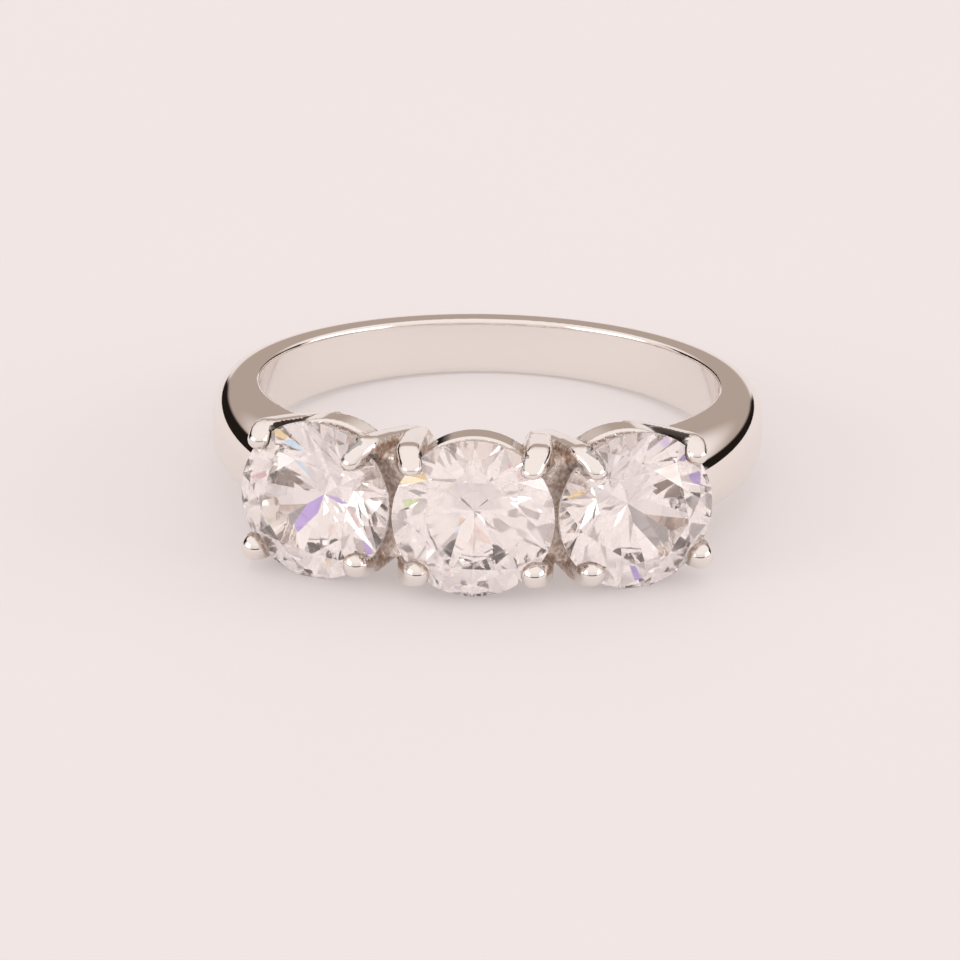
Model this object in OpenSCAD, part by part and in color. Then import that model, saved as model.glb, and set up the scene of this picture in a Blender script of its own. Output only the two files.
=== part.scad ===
// A three stone ring that lies on its side: one cast metal mount holds three round brilliants.
// It is laid out level about its finger hole, with the hole's axis along Z and the head
// towards -Y, and then leans back until it rests on its side stones and the back of its shank.

/* [Shank] */
// Inside diameter of the finger hole
finger_d = 17.35; // [16.9:0.05:18.2]
// Width of the shank across its back
back_w = 2.15; // [1.9:0.05:2.5]
// Width of the shank where it runs under the head
head_w = 3.3; // [3.1:0.05:3.6]
// Thickness of the shank at its back
back_t = 1.55; // [1.3:0.05:1.9]
// Extra thickness that the shoulders would reach if they ran on to the middle of the head
shoulder_rise = 2.8; // [2.5:0.1:3.1]
// Thickness of the strip of shank that runs under the stones
bridge_t = 0.9; // [0.75:0.05:1]
// Rounding of the edges beside the finger
inner_round = 0.18; // [0.12:0.02:0.3]
// Height of the shank's flat flanks above the finger, before its outside rounds over
flank_t = 0.62; // [0.5:0.02:0.75]

/* [Stones] */
// Diameter of each stone at its girdle
stone_d = 6; // [5.8:0.05:6.15]
// Width of the table, corner to corner, as a share of the stone's diameter
table_share = 0.6; // [0.54:0.01:0.64]
// Angle of the crown's main facets above the girdle
crown_angle = 34.5; // [32:0.5:36]
// Angle of the pavilion's main facets below the girdle
pavilion_angle = 40.75; // [40:0.25:41.5]
// Thickness of the girdle where two of its facets meet
girdle_t = 0.2; // [0.16:0.01:0.26]

/* [Head] */
// Height of the centre stone's girdle above the finger
girdle_lift = 3.87; // [3.8:0.01:4.1]
// How far the side stones' girdles lie behind the centre stone's
set_back = 1.57; // [1.4:0.01:1.7]
// How much further apart the stones' middles are than a stone's diameter
stone_spare = 0.11; // [0.08:0.01:0.3]
// Angle by which each side stone faces away from the centre stone
fan_angle = 22.3; // [20:0.1:24]
// Clearance between a stone and the metal that holds it
seat_gap = 0.04; // [0.03:0.01:0.06]

/* [Prongs] */
// Diameter of a prong beside the girdle
prong_d = 0.98; // [0.9:0.02:1.04]
// Diameter of a prong at its foot
foot_d = 0.84; // [0.75:0.05:0.9]
// Angle of the centre stone's prongs above and below the middle of the stone
centre_angle = 42; // [41:0.5:44]
// Angle of the side stones' outer prongs above and below the middle
outer_angle = 43.5; // [42:0.5:45]
// Angle of the side stones' inner prongs above and below the middle
inner_angle = 47.5; // [46:0.5:49]
// How far the centre lines of the centre stone's prongs lie outside the girdle
prong_out = 0.27; // [0.2:0.01:0.32]
// How much closer to their stone the side stones' outer prongs stand
outer_tuck = 0.15; // [0.1:0.01:0.18]
// How much closer to their stone the side stones' inner prongs stand
inner_tuck = 0.35; // [0.3:0.01:0.38]
// Height of a prong's end above the girdle
prong_rise = 0.98; // [0.85:0.01:1.1]
// How far below the girdle the centre stone's prongs bend
centre_knee = 0.6; // [0.4:0.05:0.8]
// How far below the girdle the side stones' prongs bend
side_knee = 0.27; // [0.2:0.01:0.4]
// Distance of a prong's foot above or below the middle of the shank
foot_z = 1.74; // [1.66:0.02:1.8]
// Angle round the finger of the centre stone's prong feet
centre_foot = 14.7; // [14.2:0.1:15.2]
// Angle round the finger of the side stones' inner prong feet
inner_foot = 16.4; // [16:0.1:17]
// Angle round the finger of the side stones' outer prong feet
outer_foot = 38.1; // [37.5:0.1:39]

/* [Galleries] */
// Outside diameter of the round rail that joins a stone's prongs
rail_d = 5.52; // [5.4:0.02:5.6]
// Thickness of the rail's band
rail_t = 0.5; // [0.4:0.02:0.56]
// Height of the rail's band along the stone's axis
rail_h = 1.1; // [0.9:0.02:1.2]
// Depth of the rail's middle below the girdle's middle
rail_drop = 1.7; // [1.64:0.02:1.8]
// Diameter of the light hole in the shank behind each stone
light_d = 2.2; // [1.8:0.1:2.4]
// Height of the webs between the stones
web_h = 4; // [3.6:0.1:4.2]
// Distance of the web between two stones from each stone's axis
web_reach = 2; // [1.9:0.02:2.1]
// Depth of the web's front corners below the girdles
web_drop = 0.6; // [0.4:0.02:0.8]
// Radius of the scallop across the front of the webs
scallop_r = 4; // [3.9:0.05:4.1]
// How far the scallop's axis lies in front of the centre stone's girdle
scallop_out = 3; // [2.9:0.05:3.1]

/* [Hidden] */

finger_r = finger_d / 2;
stone_r = stone_d / 2;
prong_r = prong_d / 2;
foot_r = foot_d / 2;
rail_r = rail_d / 2;
light_r = light_d / 2;
half_girdle = girdle_t / 2;

// Sides of the round cuts and rails, and of a prong
round_sides = 96;
prong_sides = 14;

// How far a cutter passes the metal that it cuts
overcut = 1;

// Where the stones sit: the middles of their girdles in plan
girdle_y = -(finger_r + girdle_lift);
side_y = girdle_y + set_back;
side_x = sqrt(pow(stone_d + stone_spare, 2) - pow(set_back, 2));

// The round brilliant, with heights measured from the middle of its girdle. Its crown has the
// table, 8 stars, 8 bezels and 16 upper halves, its pavilion 16 lower halves and 8 mains.
half_step = 22.5;
table_r = stone_r * table_share;
table_z = half_girdle + (stone_r - table_r) * tan(crown_angle);
star_share = 0.5;
star_r = table_r * cos(half_step) + star_share * (stone_r - table_r * cos(half_step));
star_z = table_z - (star_r * cos(half_step) - table_r) * tan(crown_angle);
keel_share = 0.23;
keel_r = stone_r * keel_share;
keel_z = -half_girdle - (stone_r - keel_r * cos(half_step)) * tan(pavilion_angle);
culet_z = -half_girdle - stone_r * tan(pavilion_angle);

// Points on the girdle for each of its 16 facets, and how many of them each stone is turned,
// from left to right
girdle_steps = 4;
rim = 16 * girdle_steps;
turned = [2, 4, -2];

// Prongs: how far up from the foot a prong is at its full size, how long and round its nose is
// and how far the nose dips towards the crown
full_share = 0.6;
nose_share = 0.9;
nose_dip = 0.08 * prong_d;
nose_angles = [28, 52, 74];
lean_steps = 3;
lean_power = 1.3;

// How many degrees each prong was bent away from its place when its stone was set:
// one row a stone from left to right, as [[left below, left above], [right below, right above]]
bent = [
    [[-1, 2.5], [-0.5, 1]],
    [[3, -0.5], [-1.5, 1.5]],
    [[1.5, -1.5], [-6, 0.5]]
];
// How far the end of each prong leans in over the crown, in the same order
leant = [
    [[0.1, 0.1], [0.1, 0.4]],
    [[0.4, 0.2], [0.25, 0.3]],
    [[0.1, 0.36], [0.1, 0.1]]
];

// The shank's thickness and half width at an angle round from the middle of the head. The
// shoulders end in a step where the outer prongs stand, and a thinner strip bridges the head.
step_back = 1.5;
step_length = 1.2;
shoulder_end = outer_foot - step_back;
bridge_end = shoulder_end - step_length;
rise_power = 4;
function nearness(a) = (1 + cos(a)) / 2;
function half_w(a) = (back_w + (head_w - back_w) * nearness(a)) / 2;
function shoulder_t(a) = back_t + shoulder_rise * pow(nearness(a), rise_power);
function shank_t(a) = a < shoulder_end ? bridge_t : shoulder_t(a);

// One section of the shank as [distance from the finger's axis, height], from its inner edge
// over its outside to its other inner edge. The inner edges are rounded, the flanks flat, and
// the outside is a superellipse. Its inner face lies inside the finger hole, which cuts it.
corner_power = 2.8;
corner_angles = [0, 14, 30, 48, 68];
bridge_flank = 0.6;
edge_lap = 0.06;
inner_lap = 0.3;
function outside(a, s) =
    let (
        flank = min(flank_t, bridge_flank * shank_t(a)),
        r = finger_r + flank + (shank_t(a) - flank) * pow(sin(s), 2 / corner_power),
        z = half_w(a) * pow(cos(s), 2 / corner_power)
    )
    [r, z];
function upper_half(a) =
    let (h = half_w(a), soft = inner_round * (1 - cos(45)))
    concat(
        [
            [finger_r - inner_lap, h - inner_round],
            [finger_r - edge_lap, h - inner_round],
            [finger_r + soft, h - soft],
            [finger_r + inner_round, h]
        ],
        [for (s = corner_angles) outside(a, s)]
    );
function section(a) =
    let (up = upper_half(a), n = len(up))
    concat(up, [outside(a, 90)], [for (i = [n - 1:-1:0]) [up[i][0], -up[i][1]]]);

// Stations round the shank, from the head to the back, and mirrored to the head again
bridge_count = 5;
shank_step = 4.2;
shank_count = ceil((180 - shoulder_end) / shank_step);
half_round = concat(
    [for (i = [0:bridge_count]) bridge_end * i / bridge_count],
    [for (i = [0:shank_count]) shoulder_end + (180 - shoulder_end) * i / shank_count]
);
stations = concat(half_round, [for (i = [len(half_round) - 2:-1:1]) 360 - half_round[i]]);

// Points and directions
function unit(v) = v / norm(v);
function from_head(a) = a > 180 ? 360 - a : a;
function on_finger(a, z) = [finger_r * sin(a), -finger_r * cos(a), z];

// A point given in a stone's own frame: across it, up and out along its axis. The side is
// -1 for the left stone, 0 for the centre stone and 1 for the right stone.
function seat_point(side, across, up, out) =
    let (
        a = side * fan_angle,
        x = side * side_x,
        y = side == 0 ? girdle_y : side_y
    )
    [x + across * cos(a) + out * sin(a), y + across * sin(a) - out * cos(a), up];

// Where a prong stands. Its hand is -1 or 1 for the left or right of its stone.
function is_outer(side, hand) = hand == side;
function place_angle(side, hand) =
    side == 0 ? centre_angle : is_outer(side, hand) ? outer_angle : inner_angle;
function foot_angle(side, hand) =
    side == 0 ? hand * centre_foot : side * (is_outer(side, hand) ? outer_foot : inner_foot);
function tuck(side, hand) = side == 0 ? 0 : is_outer(side, hand) ? outer_tuck : inner_tuck;

// Points on one prong's centre line with the radius there: straight up from its foot in the
// finger hole's wall, past a knee beside the girdle, and over the crown to a round nose
function prong_line(side, hand, up) =
    let (
        foot = on_finger(foot_angle(side, hand), up * foot_z),
        place = place_angle(side, hand) + bent[side + 1][(hand + 1) / 2][(up + 1) / 2],
        across = hand * cos(place),
        rise = up * sin(place),
        reach = stone_r + prong_out - tuck(side, hand),
        lean = leant[side + 1][(hand + 1) / 2][(up + 1) / 2],
        bend = side == 0 ? centre_knee : side_knee,
        knee = seat_point(side, across * reach, rise * reach, -bend),
        start = foot - unit(knee - foot) * foot_d,
        dome = prong_r * nose_share,
        neck = prong_rise - dome
    )
    [
        [start, foot_r],
        [foot, foot_r],
        [foot + (knee - foot) * full_share, prong_r],
        for (k = [0:lean_steps])
            let (t = k / lean_steps, r = reach - lean * pow(t, lean_power))
            [seat_point(side, across * r, rise * r, -bend + (neck + bend) * t), prong_r],
        for (b = nose_angles)
            let (r = reach - lean - nose_dip * (1 - cos(b)))
            [seat_point(side, across * r, rise * r, neck + dome * sin(b)), prong_r * cos(b)]
    ];

// Rest: the ring leans back until the side stones and the edge of the shank's back touch the
// floor. Contacts are [distance along Y, height], and the lowest line through both gives the tilt.
function rest_angle(front) =
    min([for (p = section(180)) atan((p[1] - front[1]) / (p[0] - front[0]))]);
rail_contact = [side_y + (rail_drop + rail_h / 2) * cos(fan_angle), -rail_r];
stone_contact = [side_y + half_girdle * cos(fan_angle), -stone_r];
tilt = max(rest_angle(rail_contact), rest_angle(stone_contact));
floor_drop = max([for (p = section(180)) p[0] * sin(tilt) - p[1] * cos(tilt)]);

// The middle of the ring's length once it leans, which is placed over the origin
function ahead_of(p) = -p[1] * cos(tilt) - p[2] * sin(tilt);
front_reach = max(
    ahead_of([0, girdle_y - table_z, -table_r]),
    max([for (hand = [-1, 1]) for (p = prong_line(0, hand, -1)) ahead_of(p[0])])
);
back_reach = max([for (p = section(180)) p[0] * cos(tilt) + p[1] * sin(tilt)]);
middle_y = (back_reach - front_reach) / 2;

// Moves a shape from the level layout to where it rests
module at_rest() {
    translate([0, -middle_y, floor_drop]) rotate([-tilt, 0, 0]) children();
}

// Moves a shape whose axis is +Z, with the girdle's middle at z = 0, to a stone's seat
module at_seat(side) {
    translate(seat_point(side, 0, 0, 0)) rotate([0, 0, side * fan_angle]) rotate([90, 0, 0])
        children();
}

// The two triangles of a skin between points j and j + 1 of one ring and of the next
function patch(near, far, j, k) =
    [[near + j, near + k, far + k], [near + j, far + k, far + j]];

// The shank: one closed loop of sections
module shank() {
    points = [
        for (a = stations) for (p = section(from_head(a)))
            [p[0] * sin(a), -p[0] * cos(a), p[1]]
    ];
    n = len(section(0));
    rings = len(stations);
    faces = [
        for (i = [0:rings - 1]) for (j = [0:n - 1])
            each patch(((i + 1) % rings) * n, i * n, j, (j + 1) % n)
    ];
    polyhedron(points, faces, convexity = 8);
}

// One prong: a round wire swept along its centre line
module prong(side, hand, up) {
    line = prong_line(side, hand, up);
    last = len(line) - 1;
    n = prong_sides;
    points = [
        for (i = [0:last])
            let (
                ahead = unit(line[min(i + 1, last)][0] - line[max(i - 1, 0)][0]),
                u = unit(cross(ahead, [0, 0, 1])),
                v = cross(u, ahead)
            )
            for (j = [0:n - 1])
                let (a = 360 * j / n)
                line[i][0] + line[i][1] * (u * cos(a) + v * sin(a))
    ];
    faces = concat(
        [[for (j = [n - 1:-1:0]) j]],
        [for (i = [0:last - 1]) for (j = [0:n - 1]) each patch(i * n, (i + 1) * n, j, (j + 1) % n)],
        [[for (j = [0:n - 1]) last * n + j]]
    );
    polyhedron(points, faces, convexity = 4);
}

// The round rail that joins the four prongs of one stone: a flat band with its edges taken off
rail_soft = 0.12;
module rail(side) {
    inner = rail_r - rail_t;
    top = rail_h / 2;
    at_seat(side) translate([0, 0, -rail_drop]) rotate_extrude($fn = round_sides) polygon([
        [inner + rail_soft, -top],
        [rail_r - rail_soft, -top],
        [rail_r, rail_soft - top],
        [rail_r, top - rail_soft],
        [rail_r - rail_soft, top],
        [inner + rail_soft, top],
        [inner, top - rail_soft],
        [inner, rail_soft - top]
    ]);
}

// The web between the centre stone and one side stone, scalloped across its front. Its root
// is a little wider on either side than the two prong feet that stand on it.
web_root = 3.6;
module web(side) {
    plan = [
        on_finger(side * (centre_foot - web_root), 0),
        on_finger(side * (inner_foot + web_root), 0),
        seat_point(side, -side * web_reach, 0, -web_drop),
        seat_point(0, side * web_reach, 0, -web_drop)
    ];
    difference() {
        linear_extrude(web_h, center = true) polygon([for (p = plan) [p[0], p[1]]]);
        translate([0, girdle_y - scallop_out, 0]) rotate([0, 90, 0])
            cylinder(h = 6 * stone_d, r = scallop_r, center = true, $fn = round_sides);
    }
}

// The room that a stone takes with its clearance, open to the front
module stone_room(side) {
    g = seat_gap;
    at_seat(side) rotate_extrude($fn = round_sides) polygon([
        [0, culet_z - 2 * g],
        [keel_r + g, keel_z - g],
        [stone_r + g, -half_girdle - g],
        [stone_r + g, half_girdle + g],
        [star_r + g, star_z + g],
        [table_r + g, table_z + g],
        [table_r + g, table_z + overcut],
        [0, table_z + overcut]
    ]);
}

// The open well under a stone, inside its rail, narrowing to the light hole in the shank
module well(side) {
    seat = seat_point(side, 0, 0, 0);
    well_r = rail_r - rail_t / 2;
    at_seat(side) rotate_extrude($fn = round_sides) polygon([
        [0, -girdle_lift - overcut],
        [light_r, -girdle_lift - overcut],
        [light_r, finger_r + bridge_t - norm(seat)],
        [well_r, -rail_drop - rail_h / 2],
        [well_r, -half_girdle],
        [0, -half_girdle]
    ]);
}

// The metal: shank, webs, prongs and rails cast as one piece
module ring_mount() {
    color([0.85, 0.83, 0.82]) at_rest() {
        difference() {
            union() {
                shank();
                for (side = [-1, 1]) web(side);
                for (side = [-1:1]) for (hand = [-1, 1]) for (up = [-1, 1]) prong(side, hand, up);
            }
            cylinder(h = 4 * head_w, r = finger_r, center = true, $fn = round_sides);
            for (side = [-1:1]) {
                well(side);
                stone_room(side);
            }
        }
        for (side = [-1:1]) rail(side);
    }
}

// Eight points at one height, 45 degrees apart from a first angle
function eight(r, z, first) =
    [for (i = [0:7]) [r * cos(45 * i + first), r * sin(45 * i + first), z]];

// Height of the plane through three points, above a place in plan
function plane_z(p, q, r, x, y) =
    let (n = cross(q - p, r - p))
    p[2] - (n[0] * (x - p[0]) + n[1] * (y - p[1])) / n[2];

// One edge of the girdle, round in plan. Between its 16 corners at height z it follows the
// flat half facets, which meet the star or keel points at radius tip_r and height tip_z.
function girdle_edge(tip_r, tip_z, z) = [
    for (i = [0:15]) for (k = [0:girdle_steps - 1])
        let (
            a = half_step * (i + k / girdle_steps),
            tip_a = 45 * floor((i + 1) / 2) + (i % 2 == 0 ? half_step : -half_step),
            here = [stone_r * cos(half_step * i), stone_r * sin(half_step * i), z],
            next = [stone_r * cos(half_step * (i + 1)), stone_r * sin(half_step * (i + 1)), z],
            tip = [tip_r * cos(tip_a), tip_r * sin(tip_a), tip_z],
            x = stone_r * cos(a),
            y = stone_r * sin(a)
        )
        [x, y, k == 0 ? z : plane_z(here, next, tip, x, y)]
];

// A round brilliant with the middle of its girdle at z = 0 and its table up
module brilliant() {
    step = girdle_steps;
    stars = 8;
    upper = 16;
    lower = upper + rim;
    keels = lower + rim;
    culet = keels + 8;
    points = concat(
        eight(table_r, table_z, 0),
        eight(star_r, star_z, half_step),
        girdle_edge(star_r, star_z, half_girdle),
        girdle_edge(keel_r, keel_z, -half_girdle),
        eight(keel_r, keel_z, half_step),
        [[0, 0, culet_z]]
    );
    table = [[for (i = [7:-1:0]) i]];
    star_facets = [for (i = [0:7]) [i, (i + 1) % 8, stars + i]];
    bezels = [for (i = [0:7]) [i, stars + i, upper + 2 * step * i, stars + (i + 7) % 8]];
    upper_halves = [
        for (i = [0:7]) for (half = [0, 1])
            concat([stars + i], [for (k = [step:-1:0]) upper + ((2 * i + half) * step + k) % rim])
    ];
    girdle = [
        for (j = [0:rim - 1])
            let (k = (j + 1) % rim)
            [upper + j, upper + k, lower + k, lower + j]
    ];
    lower_halves = [
        for (i = [0:7]) for (half = [0, 1])
            concat([keels + i], [for (k = [0:step]) lower + ((2 * i + half) * step + k) % rim])
    ];
    mains = [for (i = [0:7]) [culet, keels + (i + 7) % 8, lower + 2 * step * i, keels + i]];
    polyhedron(
        points,
        concat(table, star_facets, bezels, upper_halves, girdle, lower_halves, mains),
        convexity = 2
    );
}

// One stone in its seat
module stone(side) {
    color([0.95, 0.96, 0.98, 0.5]) at_rest() at_seat(side)
        rotate([0, 0, turned[side + 1] * 360 / rim]) brilliant();
}
module left_stone() {
    stone(-1);
}
module centre_stone() {
    stone(0);
}
module right_stone() {
    stone(1);
}

ring_mount();
left_stone();
centre_stone();
right_stone();
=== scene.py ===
# %% [markdown]
# # A three stone ring, lying on its side
#
# The real object is a cast ring of polished white metal. A narrow shank widens into two shoulders,
# twelve prongs stand on them in three groups of four, a flat rail joins each group behind its
# stone, and three round brilliants are set side by side.
#
# The construction comes packed from CAD and is loaded here as a fixed frame. This lesson dresses
# it: the casting gets its soft inner corners and its polish, the stones get their cut, and a light
# tent gives both something to reflect. Lengths are in metres in the scene. While a piece is being
# shaped they are in millimetres, because a ring is easier to think about that way.

import math

import bpy
import numpy as np
from mathutils import Matrix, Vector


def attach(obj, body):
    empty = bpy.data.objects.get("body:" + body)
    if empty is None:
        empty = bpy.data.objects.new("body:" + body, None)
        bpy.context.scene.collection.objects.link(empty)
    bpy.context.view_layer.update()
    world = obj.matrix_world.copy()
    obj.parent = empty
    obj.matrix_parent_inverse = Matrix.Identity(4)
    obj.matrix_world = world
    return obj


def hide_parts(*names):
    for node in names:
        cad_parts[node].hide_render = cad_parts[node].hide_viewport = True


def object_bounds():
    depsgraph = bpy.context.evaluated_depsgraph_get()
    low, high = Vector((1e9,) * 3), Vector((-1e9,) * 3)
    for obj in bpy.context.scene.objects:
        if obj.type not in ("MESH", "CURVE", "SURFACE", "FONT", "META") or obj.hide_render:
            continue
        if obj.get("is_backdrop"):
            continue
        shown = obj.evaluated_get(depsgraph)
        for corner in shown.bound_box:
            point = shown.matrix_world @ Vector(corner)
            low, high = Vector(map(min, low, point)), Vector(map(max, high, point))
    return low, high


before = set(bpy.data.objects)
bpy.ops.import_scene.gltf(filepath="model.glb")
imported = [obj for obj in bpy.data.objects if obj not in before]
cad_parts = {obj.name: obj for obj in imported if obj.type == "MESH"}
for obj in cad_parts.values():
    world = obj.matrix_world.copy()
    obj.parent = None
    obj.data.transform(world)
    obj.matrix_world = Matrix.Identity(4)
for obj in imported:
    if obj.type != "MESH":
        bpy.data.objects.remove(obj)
cad_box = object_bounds()
size = [round((high - low) * 1000, 2) for low, high in zip(*cad_box)]
print("CAD box in mm:", size, "nodes:", sorted(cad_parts))

# %% [markdown]
# ## The camera
#
# A ring is photographed from far away with a long lens, so that the near stones don't look too
# big beside the far end of the shank. The place below was solved from the photograph: the finger
# hole and the girdles are circles, and their ellipses say where the camera stood.

# %% Set up the camera
MM = 0.001
camera_data = bpy.data.cameras.new("camera")
camera_data.sensor_width = 36
camera_data.lens = 345.675
camera_data.clip_start = 0.01
camera_data.clip_end = 10
camera = bpy.data.objects.new("camera", camera_data)
bpy.context.scene.collection.objects.link(camera)
camera.location = [13.154 * MM, -319.825 * MM, 139.573 * MM]
camera.rotation_euler = [math.radians(a) for a in (66.4383, -0.7717, 2.7314)]
bpy.context.scene.camera = camera
print("camera stands", round(camera.location.length / MM), "mm from the ring")

# %% [markdown]
# ## Rounded joins between shapes
#
# A casting has no knife-sharp inner corners: wax and solder leave a small fillet wherever two
# wires meet. Sweeping each prong as its own mesh would leave a hard crease at every join, and a
# polished surface shows each crease. So the mount is written as a distance field instead: a
# function that says how far a point is from the metal, negative inside it. Two fields can be
# fused, or one cut out of the other, with a radius on the edge where they meet.


# %% Fuse and cut distance fields
def fused(a, b, radius):
    """Both solids as one, with a fillet of that radius in the corner between them."""
    near_a, near_b = np.maximum(radius - a, 0), np.maximum(radius - b, 0)
    return np.maximum(radius, np.minimum(a, b)) - np.hypot(near_a, near_b)


def common(a, b, radius):
    """What both solids share, with its outer edge rounded."""
    in_a, in_b = np.maximum(radius + a, 0), np.maximum(radius + b, 0)
    return np.minimum(-radius, np.maximum(a, b)) + np.hypot(in_a, in_b)


def carved(a, b, radius):
    """The first solid with the second cut out of it."""
    return common(a, -b, radius)


def outline(x, y, corners):
    """Distance to a closed outline in a plane, negative inside it."""
    nearest, sign = np.full(x.shape, 1e9), np.ones(x.shape)
    for (x0, y0), (x1, y1) in zip(corners, corners[-1:] + corners[:-1]):
        ex, ey, wx, wy = x1 - x0, y1 - y0, x - x0, y - y0
        t = np.clip((wx * ex + wy * ey) / (ex * ex + ey * ey), 0, 1)
        nearest = np.minimum(nearest, (wx - ex * t) ** 2 + (wy - ey * t) ** 2)
        over, under, left = y >= y0, y < y1, ex * wy > ey * wx
        sign = np.where((over & under & left) | ~(over | under | left), -sign, sign)
    return sign * np.sqrt(nearest)


print("fused corner of two walls, radius 0.5:", fused(np.array([0.1]), np.array([0.1]), 0.5))

# %% [markdown]
# ## Where things are
#
# The ring is laid out level first, with the finger hole's axis along Z and the stones towards -Y.
# Each stone has a seat of its own: across it, up, and out along its axis. The side stones face
# outwards like a fan. Last of all the ring leans back a little, because it rests on its side
# stones and on the edge of its shank.

# %% The layout, in millimetres
FINGER_R = 8.675
STONE_R, HALF_GIRDLE = 3.0, 0.1
GIRDLE_Y, SIDE_X, SIDE_Y, FAN = -12.545, 5.90485, -10.975, 22.3
TILT, MIDDLE_Y, FLOOR_DROP = math.radians(5.424), -1.72726, 1.9579
SIDES = {"left": -1, "centre": 0, "right": 1}


def on_finger(angle, z):
    """A point on the finger hole's wall, by its angle from the centre stone."""
    a = math.radians(angle)
    return np.array([FINGER_R * math.sin(a), -FINGER_R * math.cos(a), z])


def seat(side, across, up, out):
    """A point given in a stone's own directions."""
    a = math.radians(side * FAN)
    x, y = side * SIDE_X, SIDE_Y if side else GIRDLE_Y
    x, y = x + across * math.cos(a) + out * math.sin(a), y + across * math.sin(a) - out * math.cos(a)
    return np.array([x, y, up])


def from_seat(side, p):
    """The same the other way: points in a stone's own directions."""
    a = math.radians(side * FAN)
    x, y = p[:, 0] - side * SIDE_X, p[:, 1] - (SIDE_Y if side else GIRDLE_Y)
    return x * math.cos(a) + y * math.sin(a), p[:, 2], x * math.sin(a) - y * math.cos(a)


def lean(p):
    """Turns layout directions back by the angle at which the ring rests."""
    c, s = math.cos(TILT), math.sin(TILT)
    return np.stack([p[:, 0], p[:, 1] * c + p[:, 2] * s, p[:, 2] * c - p[:, 1] * s], 1)


def lay_down(p):
    """Layout points in millimetres to the resting ring in metres."""
    return (lean(p) + [0, -MIDDLE_Y, FLOOR_DROP]) * MM


print("centre stone's girdle rests at", (lay_down(seat(0, 0, 0, 0)[None]) / MM).round(2))

# %% [markdown]
# ## The shank
#
# The band is one section carried round the finger. It is narrow and thin at the back and grows
# towards the shoulders. The section has flat flanks and a superellipse outside, which is flatter
# on top than a circle and turns over more quickly at its edges. That is what gives a polished
# band the long streaks of light along its rounding.

# %% The shank's field
BACK_W, HEAD_W, BACK_T, RISE, BRIDGE_T = 2.15, 3.3, 1.55, 2.8, 0.9
SHOULDER_END, BRIDGE_END = 36.6, 35.4
FLANK_T, FLANK_SHARE, INNER_ROUND, CORNER_POWER = 0.62, 0.6, 0.18, 2.8


def shank(p):
    """The band, shoulders and the bridge under the stones."""
    r = np.hypot(p[:, 0], p[:, 1])
    near = (1 - p[:, 1] / r) / 2
    half = (BACK_W + (HEAD_W - BACK_W) * near) / 2
    angle = np.degrees(np.arccos(np.clip(-p[:, 1] / r, -1, 1)))
    step = np.clip((angle - BRIDGE_END) / (SHOULDER_END - BRIDGE_END), 0, 1)
    thick = BRIDGE_T + (BACK_T + RISE * near**4 - BRIDGE_T) * step * step * (3 - 2 * step)
    flank = np.minimum(FLANK_T, FLANK_SHARE * thick)
    x, z = np.maximum(r - FINGER_R - flank, 0) / (thick - flank), np.abs(p[:, 2]) / half
    s = np.maximum((x**CORNER_POWER + z**CORNER_POWER) ** (1 / CORNER_POWER), 1e-6)
    slope_x, slope_z = (x / s) ** (CORNER_POWER - 1), (z / s) ** (CORNER_POWER - 1)
    slope = np.hypot(slope_x / (thick - flank), slope_z / half)
    return common((s - 1) / np.maximum(slope, 1e-6), FINGER_R - r, INNER_ROUND)


middle = np.array([[0, FINGER_R + BACK_T / 2, 0]])
print("shank thickness at the back:", round(-float(shank(middle)[0]) * 2, 2))

# %% [markdown]
# ## The prongs
#
# Each prong is a bar that stands on the edge of the shank, runs up beside its stone, turns
# straight beside the girdle and ends in a nose over the crown. Its top is flattened, which shows
# as one long streak of light, and only its nose is round. The setter files the upper noses thin
# and bends every prong by hand, so no two stand quite alike. Two tables keep those differences: by
# how many degrees a prong is bent round its stone, and by how many millimetres its end leans in.
# Their rows are the stones from left to right, each with its prongs below and above on the left,
# then on the right. A curve with a bevel would make such bars too, but it would leave a hard crease
# where a bar meets the shank.

# %% The prongs' centre lines
PRONG_R, FOOT_R, FOOT_Z, PRONG_TOP = 0.49, 0.42, 1.74, 0.98
BESIDE = {"centre": 0.27, "inner": -0.08, "outer": 0.12}
KNEE = {"centre": 0.6, "inner": 0.27, "outer": 0.27}
PLACE = {"centre": 42, "inner": 47.5, "outer": 43.5}
FOOT = {"centre": 14.7, "inner": 16.4, "outer": 38.1}
ROUND, SQUARE, NOSE_LENGTH = 2.0, 3.4, 0.45
FILED, FILED_LENGTH, FILED_SIDES = {"centre": 0.65, "inner": 0.75, "outer": 0.85}, 0.9, 0.14
BURIED, FULL_WIDTH_AT, LEAN_POWER, SMOOTHINGS = 0.2, 0.6, 1.3, 12
BENT = [[[-1, 2.5], [-0.5, 1]], [[3, -0.5], [-1.5, 1.5]], [[1.5, -1.5], [-6, 0.5]]]
LEANT = [[[0.1, 0.1], [0.1, 0.4]], [[0.4, 0.2], [0.25, 0.3]], [[0.1, 0.36], [0.1, 0.1]]]


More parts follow.
